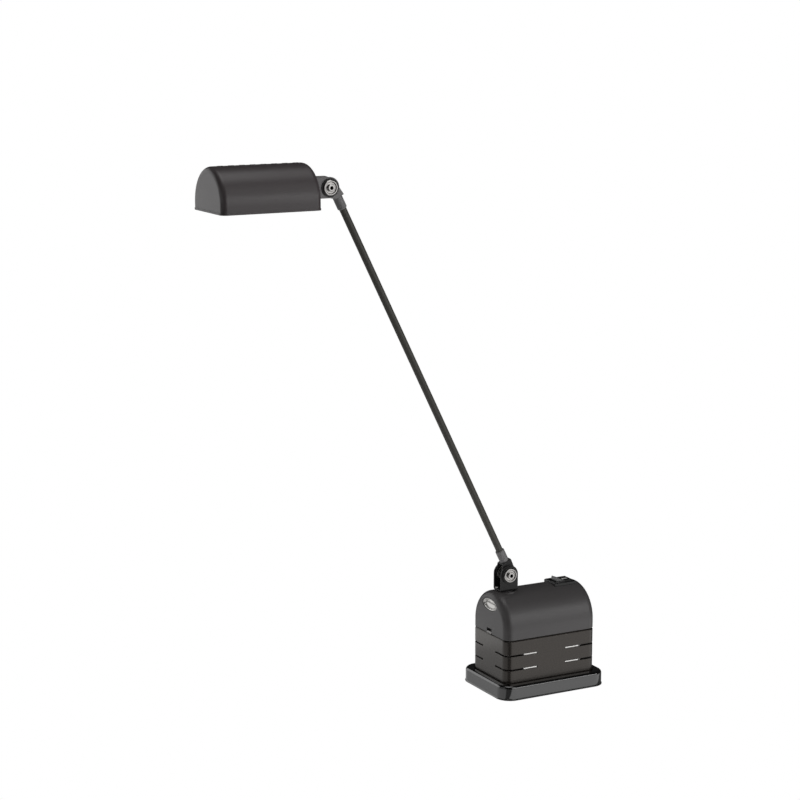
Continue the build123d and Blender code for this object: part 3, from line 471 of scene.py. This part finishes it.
def zincPlate(name, plan):
    shader = Shader(name)
    at = shader.coordinates()
    patch = shader.cells(at, plan["flakeSize"], output=1)
    flake = shader.node("ShaderNodeSeparateColor", {}, {0: patch})
    fine = shader.noise(at, plan["fineSize"])
    tone = shader.mix(flake, colour(*plan["dark"]), colour(*plan["light"]))
    return shader.finish(baseColor=tone, metallic=1.0,
                         roughness=flake.between(0.0, 1.0, *plan["gloss"]),
                         normal=shader.bump(fine, plan["depth"], plan["strength"], plan["edge"]))


# bright strip, with varnish that has run down it in places
stripPlan = {"stretch": 2.5, "varnishSize": 240.0, "fineSize": 1400.0, "varnishFrom": 0.016,
             "varnishFull": 0.03, "varnishGrowth": 0.16, "varnishSpan": (0.7, 0.76),
             "bright": (0.95, 0.94, 0.92), "varnish": (0.12, 0.07, 0.035), "gloss": (0.5, 0.6),
             "depth": 0.00001, "strength": 0.5}


def guardSteel(name, plan):
    shader = Shader(name)
    at = shader.coordinates(scale=(1, 1, plan["stretch"]))
    varnish = shader.noise(at, plan["varnishSize"], detail=4.0, roughness=0.65)
    fine = shader.noise(at, plan["fineSize"])
    growth = shader.parts(at)[0].between(plan["varnishFrom"], plan["varnishFull"], 0.0,
                                         plan["varnishGrowth"])
    run = (varnish + growth).between(*plan["varnishSpan"])
    tone = shader.mix(run, colour(*plan["bright"]), colour(*plan["varnish"]))
    return shader.finish(baseColor=tone, metallic=1.0,
                         roughness=run.between(0.0, 1.0, *plan["gloss"]),
                         normal=shader.bump(fine, plan["depth"], plan["strength"]))


# bright sheet, peened with shallow dimples
peenPlan = {"dimpleSize": 420.0, "hazeSize": 60.0, "dark": (0.80, 0.80, 0.79),
            "light": (0.93, 0.92, 0.90), "gloss": (0.14, 0.24), "depth": 0.0005, "strength": 0.35}


def reflectorMetal(name, plan):
    shader = Shader(name)
    at = shader.coordinates()
    dimples = shader.cells(at, plan["dimpleSize"])
    haze = shader.noise(at, plan["hazeSize"])
    tone = shader.mix(haze, colour(*plan["dark"]), colour(*plan["light"]))
    return shader.finish(baseColor=tone, metallic=1.0,
                         roughness=haze.between(*noiseSpan, *plan["gloss"]),
                         normal=shader.bump(dimples, plan["depth"], plan["strength"]))


# drawn glass with a faint ripple
quartzPlan = {"rippleSize": 160.0, "tone": (0.96, 0.97, 0.98), "gloss": 0.03, "ior": 1.46,
              "depth": 0.00003, "strength": 0.4}


def quartzGlass(name, plan):
    shader = Shader(name)
    ripple = shader.noise(shader.coordinates(), plan["rippleSize"])
    return shader.finish(baseColor=colour(*plan["tone"]), roughness=plan["gloss"],
                         transmission=1.0, ior=plan["ior"],
                         normal=shader.bump(ripple, plan["depth"], plan["strength"]))


print("shader helpers ready")

paints = {key: paint(key, **sizes) for key, sizes in materialPlan.items()}
inlayLow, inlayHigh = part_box("end_inlay")
footHinge, headHinge = (joints[name]["pos_m"] for name in ("arm_hinge", "head_hinge"))
# socket is the radius of the painted shade at the middle of each hinge bolt's key socket
nickel = {"base": (0.60, 0.585, 0.57), "roughness": 0.24, "axis": 1, "pitch": 0.0004,
          "depth": 0.00001, "socket": 0.00165}
turnedPlan = {
    "footNickel": {**nickel, "centre": footHinge},
    "headNickel": {**nickel, "centre": headHinge},
    "discNickel": {"base": (0.75, 0.74, 0.72), "roughness": 0.3, "centre": (0, 0, 0), "axis": 1,
                   "pitch": 0.0006, "depth": 0.00001},
    "inlayMetal": {"base": (0.64, 0.63, 0.61), "roughness": 0.12, "axis": 0, "pitch": 0.0006,
                   "depth": 0.000004, "centre": (Vector(inlayLow) + Vector(inlayHigh)) / 2},
    "tabBrass": {"base": (0.62, 0.42, 0.17), "roughness": 0.35, "centre": (0, 0, 0), "axis": 2,
                 "pitch": 0.003, "depth": 0.00001},
}
turned = {key: turnedMetal(key, **sizes) for key, sizes in turnedPlan.items()}
zinc = zincPlate("zincSteel", zincPlan)
coreLook = laminations("corePlates", laminationPlan)
guardLook = guardSteel("guardSteel", stripPlan)
coilLook = copperTurns("copperTurns", copperPlan)
reflectorLook = reflectorMetal("peenedAluminium", peenPlan)
quartz = quartzGlass("quartz", quartzPlan)

lookOf = {
    "foot_pad": paints["rubber"],
    "tray": paints["tray"],
    "lower_housing": paints["housing"],
    "latch_clips": paints["darkSpring"],
    "top_cover": paints["cover"],
    "end_inlay": turned["inlayMetal"],
    "cord_inlet": paints["nylon"],
    "transformer_core": coreLook,
    "bobbin": paints["nylon"],
    "coil": coilLook,
    "terminal_block": paints["paleNylon"],
    "switch_body": paints["switch"],
    "switch_tabs": turned["tabBrass"],
    "rocker": paints["rocker"],
    "foot_pivot_screw": paints["blackSteel"],
    "foot_pivot_washer": paints["blackSteel"],
    "head_pivot_screw": paints["blackSteel"],
    "head_pivot_washer": paints["blackSteel"],
    # painted light: the fork and lower yoke take the shaded copy of the hinge paint, the head
    # bracket, upper yoke and sleeves the lit copy
    "fork": paints["fork"],
    "head_bracket": paints["bracket"],
    "lower_yoke": paints["fork"],
    "upper_yoke": paints["bracket"],
    "lower_sleeve": paints["bracket"],
    "upper_sleeve": paints["bracket"],
    "arm_tube": paints["tube"],
    "arm_leads": paints["rubber"],
    "head_shell": paints["head"],
    "reflector": reflectorLook,
    "lamp_holder": paints["ceramic"],
    "halogen_capsule": quartz,
}
for end in ("foot", "head"):
    for piece in ("hinge_bolt", "hinge_nut", "hinge_cups"):
        lookOf[f"{end}_{piece}"] = turned[f"{end}Nickel"]
    lookOf[f"{end}_contact_discs"] = turned["discNickel"]
    lookOf[f"{end}_hinge_insulators"] = paints["nylon"]
    lookOf[f"{end}_hinge_spacer"] = paints["nylon"]


def dressNodes():
    # zinc for the screws, nuts and straps that have no look of their own
    for name, piece in nodes.items():
        piece.data.materials.clear()
        piece.data.materials.append(lookOf.get(name, zinc))


dressNodes()
print("materials on", len(nodes), "nodes")


def middleOf(node):
    low, high = (Vector(corner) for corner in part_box(node))
    return (low + high) / 2, high - low


# transformer: a stack of thin plates with two windows each
corePlan = {"plates": 72, "gap": 0.00005, "limb": 10.0 * mm, "shift": 0.00006, "seed": 4}


def makeCore(plan):
    middle, size = middleOf("transformer_core")
    pitch = size.y / plan["plates"]
    reach = plan["shift"]
    tree = Tree("corePlates", plates=plan["plates"], length=size.x - 2 * reach,
                height=size.z - 2 * reach, limb=plan["limb"], pitch=pitch,
                thickness=pitch - plan["gap"], shift=reach, seed=plan["seed"])
    given = tree.given
    windowWidth = (given["length"] - given["limb"] * 4) / 2
    windowHeight = given["height"] - given["limb"] * 2
    windowPlace = given["limb"] + windowWidth / 2
    outline = tree.join(
        tree.rectangle(given["length"], given["height"]),
        tree.rectangle(windowWidth, windowHeight, tree.vector(windowPlace)),
        tree.rectangle(windowWidth, windowHeight, tree.vector(-1 * windowPlace)),
    )
    plate = tree.sheet(outline, given["thickness"])
    start = (middle.x, middle.y - size.y / 2 + pitch, middle.z)
    points = tree.line(given["plates"], tree.vector(0.0, given["pitch"]), start)
    points = tree.jitter(points, given["shift"], given["seed"])
    stack = tree.scatter(points, plate, turn=(math.pi / 2, 0, 0))
    tree.make(stack, coreLook, "base", "core_steel", ["transformer_core"])


# winding: turns of enamelled wire around the bobbin
windingPlan = {"wire": 0.00068, "corner": 3.0 * mm, "sides": 6, "cornerSteps": 5,
               "shift": 0.00004, "seed": 9}


def makeWinding(plan):
    middle, size = middleOf("coil")
    turns = int(size.z / plan["wire"]) - 1
    inset = plan["wire"] + 2 * plan["shift"]
    tree = Tree("windingTurns", turns=turns, wire=plan["wire"], length=size.x - inset,
                width=size.y - inset, corner=plan["corner"], sides=plan["sides"],
                cornerSteps=plan["cornerSteps"], shift=plan["shift"], seed=plan["seed"])
    given = tree.given
    path = tree.node("GeometryNodeFilletCurve", {"mode": "POLY"},
                     {"Curve": tree.rectangle(given["length"], given["width"]),
                      "Radius": given["corner"], "Count": given["cornerSteps"]})
    ring = tree.node("GeometryNodeCurvePrimitiveCircle", {"mode": "RADIUS"},
                     {"Resolution": given["sides"], "Radius": given["wire"] * 0.5})
    turn = tree.node("GeometryNodeCurveToMesh", {}, {"Curve": path, "Profile Curve": ring})
    low = middle.z - (turns - 1) * plan["wire"] / 2
    step = tree.vector(0.0, 0.0, given["wire"])
    points = tree.line(given["turns"], step, (middle.x, middle.y, low))
    points = tree.jitter(points, given["shift"], given["seed"])
    tree.make(tree.scatter(points, turn), coilLook, "base", "winding", ["coil"])


# steel guards between the winding and the long walls, with rows of air holes
guardPlan = {"length": 58.5 * mm, "centre": 3.7 * mm, "height": 38.0 * mm, "low": 7.6 * mm,
             "thickness": 0.35 * mm, "face": 28.1 * mm, "hole": 1.5 * mm, "holeSides": 16,
             "holeStep": 4.5 * mm, "across": 12, "rows": 2, "rowStep": 13.4 * mm,
             "firstRow": 19.0 * mm, "ribStart": 15.3 * mm, "ribEnd": 29.3 * mm,
             "ribHeight": 1.15 * mm, "ribReach": 2.15 * mm, "firstRib": 25.7 * mm}


def makeGuards(plan):
    tree = Tree("coilGuards", length=plan["length"], height=plan["height"],
                thickness=plan["thickness"], hole=plan["hole"], holeStep=plan["holeStep"],
                across=plan["across"], holeSides=plan["holeSides"], rowStep=plan["rowStep"])
    given = tree.given
    hole = tree.node("GeometryNodeCurvePrimitiveCircle", {"mode": "RADIUS"},
                     {"Resolution": given["holeSides"], "Radius": given["hole"]})
    middle = plan["low"] + plan["height"] / 2
    start = (-plan["holeStep"] * (plan["across"] - 1) / 2, plan["firstRow"] - middle, 0)
    row = tree.scatter(tree.line(given["across"], tree.vector(given["holeStep"]), start), hole)
    rows = [tree.move(row, tree.vector(0.0, given["rowStep"] * i)) for i in range(plan["rows"])]
    holes = tree.node("GeometryNodeRealizeInstances", {}, {0: tree.join(*rows)})
    outline = tree.join(tree.rectangle(given["length"], given["height"]), holes)
    guard = tree.sheet(outline, given["thickness"])
    upright = (math.pi / 2, 0, 0)
    front = tree.move(guard, (plan["centre"], -plan["face"], middle), upright)
    back = tree.move(guard, (plan["centre"], plan["face"] + plan["thickness"], middle), upright)
    # ribs pressed out into the vents
    ribSize = (plan["ribEnd"] - plan["ribStart"], plan["ribReach"], plan["ribHeight"])
    rib = tree.node("GeometryNodeMeshCube", {}, {"Size": ribSize})
    step = tree.vector(0.0, 0.0, given["rowStep"])
    across = (plan["ribStart"] + plan["ribEnd"]) / 2
    out = plan["face"] + plan["thickness"] + plan["ribReach"] / 2
    ribs = [tree.scatter(tree.line(plan["rows"], step, (x, y, plan["firstRib"])), rib)
            for x in (-across, across) for y in (-out, out)]
    tree.make(tree.join(front, back, *ribs), guardLook, "base", "zinc_steel")


# foot pad: a thin slab with ribs that end at its rounded outline
padPlan = {"slabLow": 0.45 * mm, "ribStep": 2.4 * mm, "ribWidth": 1.3 * mm, "ribSink": 1.1,
           "corner": 11.6 * mm, "inset": 1.2 * mm, "cornerSteps": 10}


def makePad(plan):
    middle, size = middleOf("foot_pad")
    count = int((size.x - 2 * plan["inset"]) / plan["ribStep"])
    ribHeight = plan["slabLow"] * plan["ribSink"]
    tree = Tree("ribbedPad", ribs=count, step=plan["ribStep"], ribWidth=plan["ribWidth"],
                ribHeight=ribHeight, length=size.x, width=size.y, corner=plan["corner"],
                inset=plan["inset"], slab=size.z - plan["slabLow"],
                cornerSteps=plan["cornerSteps"])
    given = tree.given
    outline = tree.node("GeometryNodeFilletCurve", {"mode": "POLY"},
                        {"Curve": tree.rectangle(given["length"], given["width"]),
                         "Radius": given["corner"], "Count": given["cornerSteps"]})
    slab = tree.move(tree.sheet(outline, given["slab"]), (middle.x, middle.y, plan["slabLow"]))
    start = (-plan["ribStep"] * (count - 1) / 2, middle.y, ribHeight / 2)
    points = tree.line(given["ribs"], tree.vector(given["step"]), start)
    # each rib's length follows the rounded corners
    x = tree.parts(tree.node("GeometryNodeInputPosition"))[0].abs()
    along = (x + given["ribWidth"] / 2 - (given["length"] / 2 - given["corner"])).least(0.0)
    bulge = (given["corner"] * given["corner"] - along * along).least(0.0) ** 0.5
    reach = given["width"] / 2 - given["corner"] + bulge - given["inset"]
    block = tree.node("GeometryNodeMeshCube", {}, {"Size": (1, 1, 1)})
    size = tree.vector(given["ribWidth"], reach * 2, given["ribHeight"])
    ribs = tree.scatter(points, block, scale=size)
    tree.make(tree.join(slab, ribs), paints["rubber"], "base", "foot_rubber", ["foot_pad"])


# inlay: a polished boss in a groove with a rolled rim
inlayPlan = {"bead": 0.3 * mm, "depth": 0.75 * mm, "dome": 0.55 * mm, "domeEdge": 0.66,
             "groove": 0.74, "rim": 0.88, "rings": 50, "sides": 96}


def makeInlay(plan):
    middle, size = middleOf("end_inlay")
    seat = inlayLow[0] + plan["bead"]
    profile = []
    for i in range(plan["rings"] + 1):
        r = i / plan["rings"]
        if r < plan["domeEdge"]:
            lift = plan["dome"] * (1 - (r / plan["domeEdge"]) ** 2) - plan["depth"]
        elif r < plan["groove"]:
            lift = -plan["depth"]
        elif r < plan["rim"]:
            rise = (r - plan["groove"]) / (plan["rim"] - plan["groove"])
            lift = -plan["depth"] * 0.5 * (1 + math.cos(math.pi * rise))
        else:
            lift = plan["bead"] * math.sin(math.pi * (r - plan["rim"]) / (1 - plan["rim"]))
        profile.append((r, seat - lift))
    profile.append((1.0, inlayHigh[0]))
    profile.append((0.0, inlayHigh[0]))
    vertices = []
    faces = []
    sides = plan["sides"]
    for r, x in profile:
        for k in range(sides):
            a = 2 * math.pi * k / sides
            vertices.append((x, middle.y + r * size.y / 2 * math.cos(a),
                             middle.z + r * size.z / 2 * math.sin(a)))
    for i in range(len(profile) - 1):
        for k in range(sides):
            n = (k + 1) % sides
            faces.append((i * sides + k, i * sides + n, (i + 1) * sides + n, (i + 1) * sides + k))
    addMesh("polishedInlay", vertices, faces, turned["inlayMetal"], "base", "inlay_metal",
            ["end_inlay"])


# switch marks: a stroke on the far half of the key and a ring on the near half
markPlan = {"strokeLength": 5.4 * mm, "strokeWidth": 2.5 * mm, "ring": 1.7 * mm,
            "ringWidth": 0.6 * mm, "lift": 0.00003, "sink": 0.00005, "tilt": 10.0, "slope": 12.0,
            "crown": 7.0 * mm, "along": 3.4 * mm, "sides": 32}


def makeMarks(plan):
    pivot = Vector(joints["switch_rocker"]["pos_m"])
    rocked = Matrix.Translation(pivot) @ Matrix.Rotation(math.radians(plan["tilt"]), 4, "Y")
    vertices = []
    faces = []

    def slab(loop, hand):
        # a flat outline printed on one face of the key
        slope = math.radians(plan["slope"]) * hand
        face = rocked @ Matrix.Translation((0, 0, plan["crown"])) @ Matrix.Rotation(-slope, 4, "Y")
        face = face @ Matrix.Translation((plan["along"] * hand, 0, 0))
        first = len(vertices)
        for z in (-plan["sink"], plan["lift"]):
            vertices.extend(face @ Vector((x, y, z)) for x, y in loop)
        return first

    length, width = plan["strokeLength"] / 2, plan["strokeWidth"] / 2
    stroke = [(-length, -width), (length, -width), (length, width), (-length, width)]
    at = slab(stroke, 1)
    faces.extend([tuple(at + i for i in (0, 1, 2, 3)), tuple(at + 4 + i for i in (3, 2, 1, 0))])
    faces.extend((at + i, at + (i + 1) % 4, at + 4 + (i + 1) % 4, at + 4 + i) for i in range(4))
    sides = plan["sides"]
    angles = [2 * math.pi * k / sides for k in range(sides)]
    ring = [(radius * math.cos(a), radius * math.sin(a))
            for radius in (plan["ring"] - plan["ringWidth"], plan["ring"]) for a in angles]
    at = slab(ring, -1)
    for k in range(sides):
        n = (k + 1) % sides
        inner, outer, innerTop, outerTop = (at + sides * i for i in range(4))
        edges = ((inner, outer), (outer, outerTop), (outerTop, innerTop), (innerTop, inner))
        for low, high in edges:
            faces.append((low + k, low + n, high + n, high + k))
    addMesh("switchMarks", vertices, faces, paints["markInk"], "switch_key", "rocker_plastic",
            smooth=False)


makeCore(corePlan)
makeWinding(windingPlan)
makeGuards(guardPlan)
makePad(padPlan)
makeInlay(inlayPlan)
makeMarks(markPlan)


# studio: pale floor, soft walls of light on two sides and one above
studioPlan = {
    "floorSize": 200.0,
    "floorColour": (0.4, 0.4, 0.4),
    "floorRoughness": 0.9,
    "fibreSize": 300.0,
    "fibreDark": 0.985,
    "worldColour": (1.0, 1.0, 1.0),
    "worldStrength": 0.02,
    # pool lights lie on the floor and face up: the bright patches of a lit sweep
    "lights": {
        "wallLeftBack": {"place": (-0.95, 1.25, 0.55), "aim": (-0.1, 0, 0.3),
                         "size": (1.5, 1.05), "power": 5.3},
        "wallRightFront": {"place": (0.62, -1.42, 0.6), "aim": (0, 0, 0.3),
                           "size": (1.9, 0.9), "power": 6.3},
        "stripRight": {"place": (0.62, -1.42, 0.92), "aim": (0, 0, 0.2),
                       "size": (2.1, 0.14), "power": 2.2},
        "top": {"place": (-0.1, 0, 1.8), "aim": (-0.1, 0, 0), "size": (1, 1), "power": 5.0},
        "headFill": {"place": (0.36, -0.98, 1.41), "aim": (-0.27, 0, 0.47),
                     "size": (0.6, 0.5), "power": 1.0},
        "wallLeft": {"place": (-1.55, -0.1, 0.66), "aim": (-0.05, 0, 0.2),
                     "size": (1.3, 0.35), "power": 1.1},
        "poolLeft": {"place": (-0.277, 0.107, 0.0001), "turn": 128,
                     "size": (0.5, 0.42), "power": 0.25},
        "poolLeftMid": {"place": (-0.19, 0.23, 0.0002), "turn": 31.7,
                        "size": (0.16, 0.28), "power": 0.06},
        "poolLeftFar": {"place": (-0.75, 0.9, 0.0001), "turn": 31.7,
                        "size": (1.2, 0.9), "power": 1.2},
        "poolRight": {"place": (0.197, -0.369, 0.0001), "turn": 0,
                      "size": (0.5, 0.65), "power": 0.76},
        "poolRightFar": {"place": (0.8, -1.0, 0.0001), "turn": 31.7,
                         "size": (1.0, 0.9), "power": 1.0},
    },
}


def paperWhite(graph, kind, shaded, output):
    # white where it is seen straight on, as shaded where it lights the lamp or mirrors in it
    white = graph.node(kind, {}, {"Color": colour(1, 1, 1), "Strength": 1.0})
    straight = graph.node("ShaderNodeLightPath")
    mixed = graph.node("ShaderNodeMixShader", {},
                       {0: straight, 1: Value(graph, shaded.outputs[0]), 2: white})
    graph.feed(graph.tree.nodes[output].inputs["Surface"], mixed)


def makeFloor(plan):
    half = plan["floorSize"] / 2
    corners = [(-half, -half, 0), (half, -half, 0), (half, half, 0), (-half, half, 0)]
    mesh = bpy.data.meshes.new("floor")
    mesh.from_pydata(corners, [], [(0, 1, 2, 3)])
    floor = bpy.data.objects.new("floor", mesh)
    scene.collection.objects.link(floor)
    shader = Shader("floorPaper")
    fibre = shader.noise(shader.coordinates(), plan["fibreSize"])
    light = plan["floorColour"]
    dark = tuple(c * plan["fibreDark"] for c in light)
    shader.finish(
        baseColor=shader.mix(fibre, colour(*dark), colour(*light)),
        roughness=plan["floorRoughness"],
    )
    paperWhite(shader, "ShaderNodeEmission", shader.surface, "Material Output")
    mesh.materials.append(shader.material)


def makeWorld(plan):
    world = bpy.data.worlds.new("studio")
    scene.world = world
    world.use_nodes = True
    graph = Graph(world.node_tree)
    ground = graph.tree.nodes["Background"]
    graph.feed(ground.inputs["Color"], colour(*plan["worldColour"]))
    graph.feed(ground.inputs["Strength"], plan["worldStrength"])
    paperWhite(graph, "ShaderNodeBackground", ground, "World Output")


def makeLights(plan):
    for name, sizes in plan["lights"].items():
        data = bpy.data.lights.new(name, "AREA")
        data.shape = "RECTANGLE"
        data.size, data.size_y = sizes["size"]
        data.energy = sizes["power"]
        light = bpy.data.objects.new(name, data)
        spot = Vector(sizes["place"])
        light.location = spot
        light.rotation_mode = "QUATERNION"
        if "turn" in sizes:
            turn = Matrix.Rotation(math.radians(sizes["turn"]), 4, "Z")
            light.rotation_quaternion = (turn @ Matrix.Rotation(math.pi, 4, "X")).to_quaternion()
        else:
            light.rotation_quaternion = (spot - Vector(sizes["aim"])).to_track_quat("Z", "Y")
        light.visible_camera = False
        scene.collection.objects.link(light)


makeFloor(studioPlan)
makeWorld(studioPlan)
makeLights(studioPlan)
print("studio lit")
